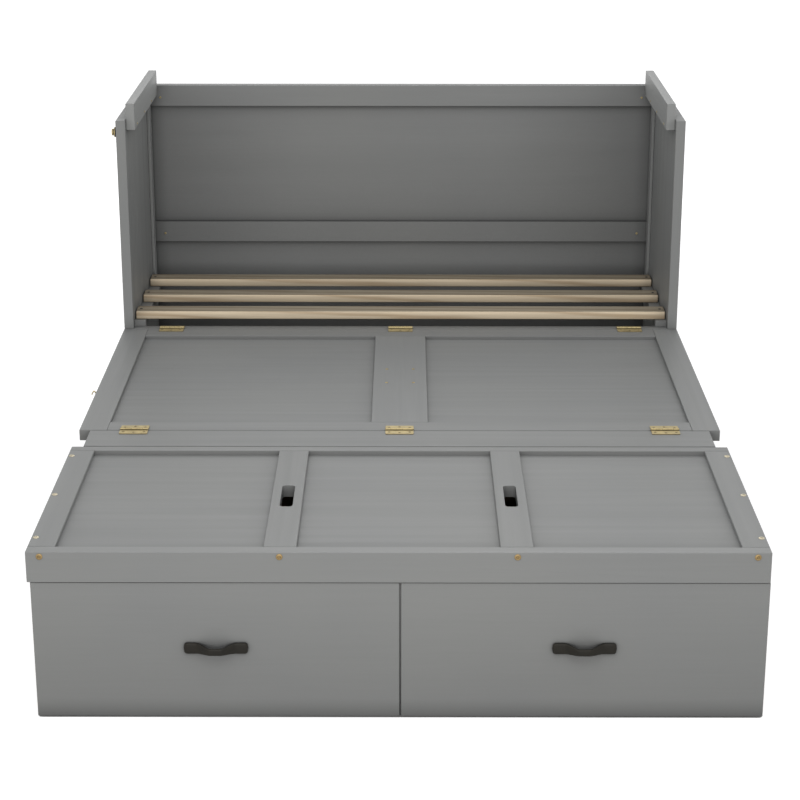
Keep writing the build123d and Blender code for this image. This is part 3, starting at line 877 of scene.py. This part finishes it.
@dataclass
class FrontPanel:
    """The folded-down front panel: framed infills, pulls underneath, hinges and the wire hook."""

    palette: Palette
    body: str = "front_panel"
    hook_z: float = 0.391
    pull_out: float = 0.036
    pull_screws: float = 0.0555

    def dress(self) -> None:
        """Finish stiles along the bed, rails across it and the infills between them, with darker copies of the
        grey as painted shade on the hinge-side rail and the infills.
        """
        p = self.palette
        for node in ("front_stile_left", "front_stile_right", "front_stile_centre"):
            dress(node, p.lacquer(Grain.ALONG))
        # the rail by the hinges is a darker copy of the grey: painted shade near the cabinet
        dress("front_rail_hinge_side", p.lacquer(Grain.ACROSS, 0.90))
        dress("front_rail_flap_side", p.lacquer(Grain.ACROSS))
        # the infills are a darker copy of the grey: painted shade
        for node in ("front_infill_left", "front_infill_right"):
            dress(node, p.lacquer(Grain.ACROSS, 0.97))
        dress("front_hinge_leaves", p.brass())

    def fittings(self) -> None:
        """Pulls, their screws and the hook as smooth pieces in place of the plain ones."""
        low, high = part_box("front_handles")
        y = (low[1] + high[1]) / 2
        pull = BowPull()
        places = (-self.pull_out, self.pull_out)
        pulls = [pull.surface((x, y, high[2]), (0, 1, 0), (0, 0, -1)) for x in places]
        piece = grid_piece("front_bow_pulls", pulls, self.palette.bronze(), self.body)
        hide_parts("front_handles")
        head = ScrewHead(0.004, 0.0014)
        spots = [(x, y + step, DECK) for x in places for step in (-self.pull_screws, self.pull_screws)]
        heads = [head.surface(spot, Facing.UP, 0.5 * turn) for turn, spot in enumerate(spots)]
        piece = grid_piece("front_pull_screws", heads, self.palette.brass(), self.body)
        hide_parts("front_handle_screws")
        self.hook()

    def hook(self) -> None:
        """The wire hook on the left edge: a round wire carried along an arch, on a small base.

        The wire's middle line runs straight out along X while Z follows a half sine wave, and its radius shrinks
        as a quarter circle over the last share of its length.
        """
        low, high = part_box("latch_hook")
        y = (low[1] + high[1]) / 2
        root = (high[0], y, self.hook_z)
        t = np.linspace(0.0, 1.0, 33)
        x = root[0] - 0.002 - 0.0115 * t
        z = root[2] + 0.0082 * np.sin(math.pi * (0.1 + 0.98 * t)) - 0.0004
        line = np.stack([x, np.full_like(x, y), z], axis=1)
        ahead = np.gradient(line, axis=0)
        ahead /= np.linalg.norm(ahead, axis=1)[:, None]
        side = np.array((0.0, 1.0, 0.0))
        up = np.cross(ahead, side)
        radius = 0.0016 * np.sqrt(np.clip(1 - np.clip((t - 0.93) / 0.07, 0, 1) ** 2, 0, 1))
        radius[-1] = POINTED
        angle = np.linspace(0.0, FULL_TURN, 18, endpoint=False)
        wire = line[:, None] + radius[:, None, None] * (
            np.cos(angle)[None, :, None] * side + np.sin(angle)[None, :, None] * up[:, None, :])
        base = turned([(0.005, 0.0), (0.005, 0.0018), (0.0044, 0.0026), (0.0017, 0.0029), (0.0, 0.0029)],
                      root, Facing.LEFT, 32)
        piece = grid_piece("hook_wire", [base, wire], self.palette.brass(), self.body)
        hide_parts("latch_hook")


@dataclass
class Flap:
    """The narrow flap between the front panel and the lid."""

    palette: Palette
    body: str = "flap"

    def dress(self) -> None:
        """Finish the board across the bed and plate its hinge leaves."""
        # a darker copy of the grey: painted shade
        dress("flap_board", self.palette.lacquer(Grain.ACROSS, 0.965))
        dress("flap_hinge_leaves", self.palette.brass())


@dataclass
class Lid:
    """The lift-off lid: deep rims, framed infills, hand slots and cap screws."""

    palette: Palette
    body: str = "lid"
    corner_step: float = 0.0036

    def dress(self) -> None:
        """Finish rims and back board across the bed, stiles along it and the infills between, with a lighter
        copy of the grey as painted light on the front rim and darker copies as painted shade on the middle
        stiles and infills.
        """
        p = self.palette
        # a lighter copy of the grey: painted light on the rim's face
        dress("lid_front_rim", p.lacquer(Grain.ACROSS, 1.10))
        dress("lid_back_board", p.lacquer(Grain.ACROSS))
        for node in ("lid_rim_left", "lid_rim_right", "lid_side_stile_left", "lid_side_stile_right"):
            dress(node, p.lacquer(Grain.ALONG))
        # darker copies of the grey: painted shade
        for node in ("lid_middle_stile_left", "lid_middle_stile_right"):
            dress(node, p.lacquer(Grain.ALONG, 0.95))
        for node in ("lid_infill_left", "lid_infill_centre", "lid_infill_right"):
            dress(node, p.lacquer(Grain.ACROSS, 0.97))

    def screws(self) -> None:
        """Cap screws with hexagon sockets along the front rim and the side stiles."""
        places = screw_places("lid_screws")
        rim = [self.outward(point) for point, facing in places if facing is Facing.FOOT]
        top = [point for point, facing in places if facing is Facing.UP]
        cap, flat = ScrewHead(0.0072, 0.0022, True), ScrewHead(0.0066, 0.002, True)
        heads = [cap.surface(point, Facing.FOOT, 0.35 * turn) for turn, point in enumerate(rim)]
        piece = grid_piece("rim_cap_screws", heads, self.palette.cap_brass(), self.body)
        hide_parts("lid_screws")
        heads = [flat.surface(point, Facing.UP, 0.5 * turn) for turn, point in enumerate(top)]
        piece = grid_piece("deck_cap_screws", heads, self.palette.pale_brass(), self.body)
        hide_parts("lid_screws")

    def outward(self, point: Point) -> Point:
        """A rim screw's place, with the two end ones a little nearer to the corners as photographed."""
        step = math.copysign(self.corner_step, point[0]) if abs(point[0]) > 0.5 else 0.0
        return (point[0] + step, point[1], point[2])


@dataclass
class Drawer:
    """One rolling drawer: lacquered front, bare box, bow pull, forks and wheels."""

    palette: Palette
    side: Side
    pull_lift: float = 0.0032
    fine_line: float = 0.0009

    def dress(self) -> None:
        """Finish the front, the bare box and the running gear, with painted light and shade on the front."""
        p, word = self.palette, self.side.word
        # the front is a lighter copy of the grey as painted light, with painted shade darkening it towards the
        # floor and a deep painted shadow right under the lid's rim
        dress(f"drawer_front_{word}", p.lacquer(Grain.ACROSS, 1.06, (0.72, 1.08), 0.25))
        for part in ("side_inner", "side_outer", "bottom"):
            dress(f"drawer_{part}_{word}", p.ply(Grain.ALONG))
        dress(f"drawer_back_{word}", p.ply(Grain.ACROSS))
        zinc = p.get(MetalFinish("zinc_plate", (0.5, 0.5, 0.49), 0.36))
        dress(f"drawer_brackets_{word}", zinc)
        black = p.get(MouldedFinish("wheel_plastic", (0.03, 0.03, 0.032)))
        for place in ("front", "rear"):
            dress(f"drawer_wheels_{place}_{word}", black)

    def pull(self) -> None:
        """The bow pull on the drawer's front."""
        node = f"drawer_handle_{self.side.word}"
        low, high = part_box(node)
        middle = ((low[0] + high[0]) / 2, high[1], (low[2] + high[2]) / 2)
        middle = (middle[0], middle[1], middle[2] + self.pull_lift)
        grid = BowPull().surface(middle, (1, 0, 0), (0, -1, 0))
        word = self.side.word
        piece = grid_piece(f"bow_pull_{word}", [grid], self.palette.bronze(), f"drawer_{word}")
        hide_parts(node)

    def edge_band(self, gap: float) -> None:
        """The lacquered lipping on the front's inner end, which leaves a fine line between the two drawers.

        A rounded section |x / a|^4 + |y / b|^4 = 1 is carried straight up and drawn in at both ends.

        Args:
            gap: the free width between the two bare fronts.
        """
        low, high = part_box(f"drawer_front_{self.side.word}")
        inner = high[0] if self.side is Side.LEFT else low[0]
        thick = (gap - self.fine_line) / 2
        angle = np.linspace(0.0, FULL_TURN, 32, endpoint=False)
        c = np.sign(np.cos(angle)) * np.abs(np.cos(angle)) ** 0.5
        d = np.sign(np.sin(angle)) * np.abs(np.sin(angle)) ** 0.5
        share = np.array((0.0, 0.8, 1.0, 1.0, 0.8, 0.0))
        level = np.array((low[2] + 0.0002, low[2] + 0.0002, low[2] + 0.0008,
                          high[2] - 0.0008, high[2] - 0.0002, high[2] - 0.0002))
        x = inner - self.side.value * thick / 2 + share[:, None] * c[None] * thick / 2
        y = (low[1] + high[1]) / 2 + share[:, None] * d[None] * ((high[1] - low[1]) / 2 - 0.0002)
        z = level[:, None] * np.ones_like(angle)[None]
        grid_piece(f"front_lipping_{self.side.word}", [np.stack([x, y, z], axis=-1)],
                   self.palette.lacquer(Grain.UPRIGHT), f"drawer_{self.side.word}")


@dataclass
class Studio:
    """Floor, world, lamps and the camera at the photograph's place."""

    distance: float = 3.8677
    height: float = 1.750
    pitch: float = 17.87
    yaw: float = 0.167
    lens: float = 88.2
    shift: float = -0.0875
    rim_y: float = -1.0635
    shade_reach: float = 1.1
    floor_half: float = 30.0
    floor_glow: float = 0.74
    sky_strength: float = 0.33
    aim: Point = (0.0, -0.2, 0.4)

    def camera(self) -> None:
        """Stand the camera in front of the foot rim, looking down by the pitch and turned by the yaw."""
        data = bpy.data.cameras.new("studio_camera")
        data.lens = self.lens
        data.sensor_width = 36.0
        data.shift_y = self.shift
        data.clip_end = 60.0
        eye = bpy.data.objects.new("studio_camera", data)
        eye.location = (0.0146, self.rim_y - self.distance, DECK + self.height)
        eye.rotation_euler = (math.radians(90 - self.pitch), 0.0, math.radians(self.yaw))
        bpy.context.scene.collection.objects.link(eye)
        bpy.context.scene.camera = eye

    def floor(self) -> None:
        """A pale floor that looks white to the camera and keeps a soft shadow.

        Its glow is seen only by the camera and by reflections. It fades where little sky is open above the
        floor, so the shade under the bed moves with the bed, and it is white from a few metres away.
        """
        size = self.floor_half
        mesh = bpy.data.meshes.new("floor")
        corners = [(-size, -size, 0.0), (size, -size, 0.0), (size, size, 0.0), (-size, size, 0.0)]
        mesh.from_pydata(corners, [], [(0, 1, 2, 3)])
        floor = bpy.data.objects.new("floor", mesh)
        bpy.context.scene.collection.objects.link(floor)
        sheet = NodeSheet("pale_floor")
        path = sheet.add("LightPath")
        seen = sheet.largest(path.outputs["Is Camera Ray"], path.outputs["Is Glossy Ray"])
        seen = sheet.largest(seen, path.outputs["Is Transmission Ray"])
        matt = sheet.add("BsdfDiffuse")
        matt.inputs["Color"].default_value = (0.18, 0.18, 0.18, 1.0)
        thin = sheet.add("BsdfDiffuse")
        thin.inputs["Color"].default_value = (0.5, 0.5, 0.5, 1.0)
        where = sheet.add("TexCoord")
        split = sheet.add("SeparateXYZ")
        sheet.join(where.outputs["Object"], split.inputs["Vector"])
        open_sky = sheet.add("AmbientOcclusion", Distance=self.shade_reach)
        open_sky.samples = 24
        bright = sheet.span(open_sky.outputs["AO"], 0.0, self.floor_glow, 0.28, 0.47)
        for axis in ("X", "Y"):
            reach = sheet.add("Math", operation="ABSOLUTE")
            sheet.join(split.outputs[axis], reach.inputs[0])
            bright = sheet.largest(bright, sheet.span(reach.outputs[0], 0.0, 1.0, 1.2, 3.2))
        glow = sheet.add("Emission")
        sheet.join(bright, glow.inputs["Strength"])
        both = sheet.add("AddShader")
        sheet.join(thin.outputs[0], both.inputs[0])
        sheet.join(glow.outputs[0], both.inputs[1])
        mix = sheet.add("MixShader")
        sheet.join(seen, mix.inputs[0])
        sheet.join(matt.outputs[0], mix.inputs[1])
        sheet.join(both.outputs[0], mix.inputs[2])
        out = sheet.add("OutputMaterial")
        sheet.join(mix.outputs[0], out.inputs["Surface"])
        mesh.materials.append(sheet.material)

    def world(self) -> None:
        """A soft grey sky for the light, white where the camera or a reflection looks at it."""
        world = bpy.data.worlds.new("studio_world")
        bpy.context.scene.world = world
        world.use_nodes = True
        tree = world.node_tree
        tree.nodes.clear()
        path = tree.nodes.new("ShaderNodeLightPath")
        sky = tree.nodes.new("ShaderNodeBackground")
        white = tree.nodes.new("ShaderNodeBackground")
        for part, strength in ((sky, self.sky_strength), (white, 1.0)):
            part.inputs["Color"].default_value = (1.0, 1.0, 1.0, 1.0)
            part.inputs["Strength"].default_value = strength
        mix = tree.nodes.new("ShaderNodeMixShader")
        out = tree.nodes.new("ShaderNodeOutputWorld")
        first, second = tree.nodes.new("ShaderNodeMath"), tree.nodes.new("ShaderNodeMath")
        first.operation = second.operation = "MAXIMUM"
        tree.links.new(path.outputs["Is Camera Ray"], first.inputs[0])
        tree.links.new(path.outputs["Is Glossy Ray"], first.inputs[1])
        tree.links.new(first.outputs[0], second.inputs[0])
        tree.links.new(path.outputs["Is Transmission Ray"], second.inputs[1])
        tree.links.new(second.outputs[0], mix.inputs[0])
        tree.links.new(sky.outputs[0], mix.inputs[1])
        tree.links.new(white.outputs[0], mix.inputs[2])
        tree.links.new(mix.outputs[0], out.inputs["Surface"])

    def lamp(self, name: str, place: Point, target: Point, size: float, power: float,
             colour: Colour = (1.0, 1.0, 1.0)) -> None:
        """One square soft box.

        Args:
            name: the lamp's name.
            place: where it hangs.
            target: what it points at.
            size: its side in metres.
            power: its watts.
            colour: the colour of its light.
        """
        data = bpy.data.lights.new(name, "AREA")
        data.shape = "SQUARE"
        data.size = size
        data.energy = power
        data.color = colour
        lamp = bpy.data.objects.new(name, data)
        lamp.location = place
        lamp.rotation_euler = (Vector(target) - Vector(place)).to_track_quat("-Z", "Y").to_euler()
        lamp.visible_camera = False
        bpy.context.scene.collection.objects.link(lamp)

    def build(self) -> None:
        """Set up the whole studio."""
        bpy.context.scene.view_settings.view_transform = "Standard"
        self.camera()
        self.floor()
        self.world()
        warm = (1.0, 0.985, 0.965)
        self.lamp("rear_box", (0.0, 3.4, 3.6), self.aim, 3.0, 63.0)
        self.lamp("front_box", (-0.3, -6.0, 1.2), self.aim, 2.0, 140.0, warm)
        self.lamp("foot_box", (0.0, -2.2, 3.0), self.aim, 2.0, 37.0)
        self.lamp("left_side_box", (-6.0, 3.0, 0.9), (-0.8, 0.4, 0.5), 2.0, 110.0)
        self.lamp("right_side_box", (6.0, 3.0, 0.9), (0.8, 0.4, 0.5), 2.0, 110.0)
        self.lamp("left_box", (-5.0, -2.0, 3.0), self.aim, 2.5, 35.0)
        self.lamp("right_box", (5.0, -2.0, 3.0), self.aim, 2.5, 57.0)
        LOG.info("studio: camera at %.2f m, seven soft boxes", self.distance)


def main() -> None:
    """Build the studio and dress the bed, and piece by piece."""
    logging.basicConfig(level=logging.INFO, format="%(message)s")
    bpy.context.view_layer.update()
    Studio().build()
    palette = Palette()
    cabinet = Cabinet(palette)
    cabinet.dress()
    cabinet.screws()
    cabinet.catch()
    LOG.info("cabinet dressed")
    panel = FrontPanel(palette)
    panel.dress()
    panel.fittings()
    LOG.info("front panel dressed")
    Flap(palette).dress()
    lid = Lid(palette)
    lid.dress()
    lid.screws()
    LOG.info("lid and flap dressed")
    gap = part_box("drawer_front_right")[0][0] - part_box("drawer_front_left")[1][0]
    for side in Side:
        drawer = Drawer(palette, side)
        drawer.dress()
        drawer.pull()
        drawer.edge_band(gap)
        LOG.info("drawer %s dressed", side.word)
    dress("cabinet_hinge_leaves", palette.brass())
    seam_a, seam_b = 0.5085, -0.3250  # the cabinet's seam and the flap's, along Y
    HingeRow(palette, "cabinet_hinge_leaves", "cabinet", seam_a, 1, 0.0105, 0.0148).screws()
    HingeRow(palette, "front_hinge_leaves", "front_panel", seam_a, -1).screws()
    HingeRow(palette, "front_hinge_leaves", "front_panel", seam_b, 1).screws()
    HingeRow(palette, "flap_hinge_leaves", "flap", seam_b, -1).screws()


if __name__ == "__main__":
    main()
